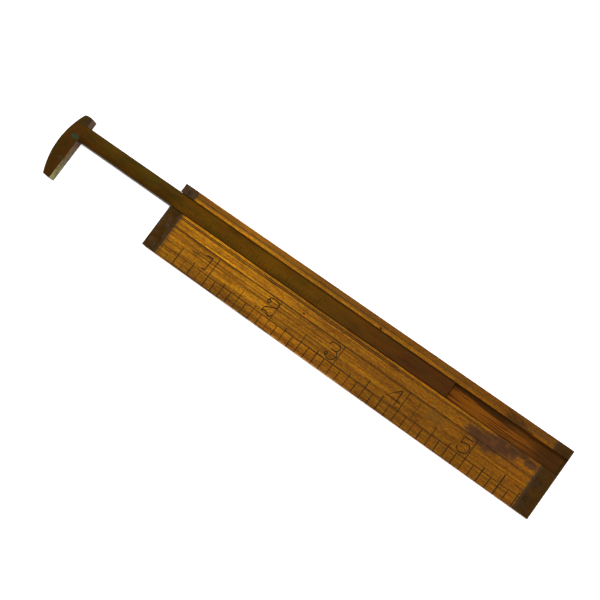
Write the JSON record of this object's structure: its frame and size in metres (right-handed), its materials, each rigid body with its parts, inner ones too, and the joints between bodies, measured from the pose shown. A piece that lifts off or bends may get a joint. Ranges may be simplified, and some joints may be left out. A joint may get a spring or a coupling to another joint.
{
  "type": "caliper rule",
  "caption": "Flat boxwood rule with brass-capped ends and a dovetailed brass slide whose jaw opens against the zero end to gauge thickness.",
  "frame": {"origin": "middle of the fixed measuring face, which is the zero end of the rule below the groove, at half the rule's thickness", "axes": "+X from the zero end along the rule, +Y across it from the graduated edge towards the groove, +Z out of the face with the scale; the jaw opens towards -X"},
  "size_m": [0.1996, 0.0249, 0.0044],
  "materials": {
    "boxwood": "aged varnish, worn at the edges",
    "cap_brass": "dark brown patina",
    "slide_brass": "olive brown patina, drawn smooth",
    "jaw_brass": "reddish brown patina with verdigris",
    "pin_brass": "dark patina, filed flush"
  },
  "bodies": {
    "stock": {"boxwood_stock": "boxwood", "zero_end_cap": "cap_brass", "far_end_cap": "cap_brass", "zero_cap_pin_1": "pin_brass", "zero_cap_pin_2": "pin_brass", "zero_cap_pin_3": "pin_brass", "far_cap_pin_1": "pin_brass", "far_cap_pin_2": "pin_brass", "far_cap_pin_3": "pin_brass", "slide_stop_pin": "pin_brass"},
    "slide": {"slide_bar": "slide_brass", "jaw_head": "jaw_brass", "jaw_rivet_1": "pin_brass", "jaw_rivet_2": "pin_brass"}
  },
  "joints": [
    {"name": "slide_travel", "type": "slide", "parent": "stock", "child": "slide", "axis": [-1, 0, 0], "range_m": [-0.04117, 0.0603]}
  ]
}
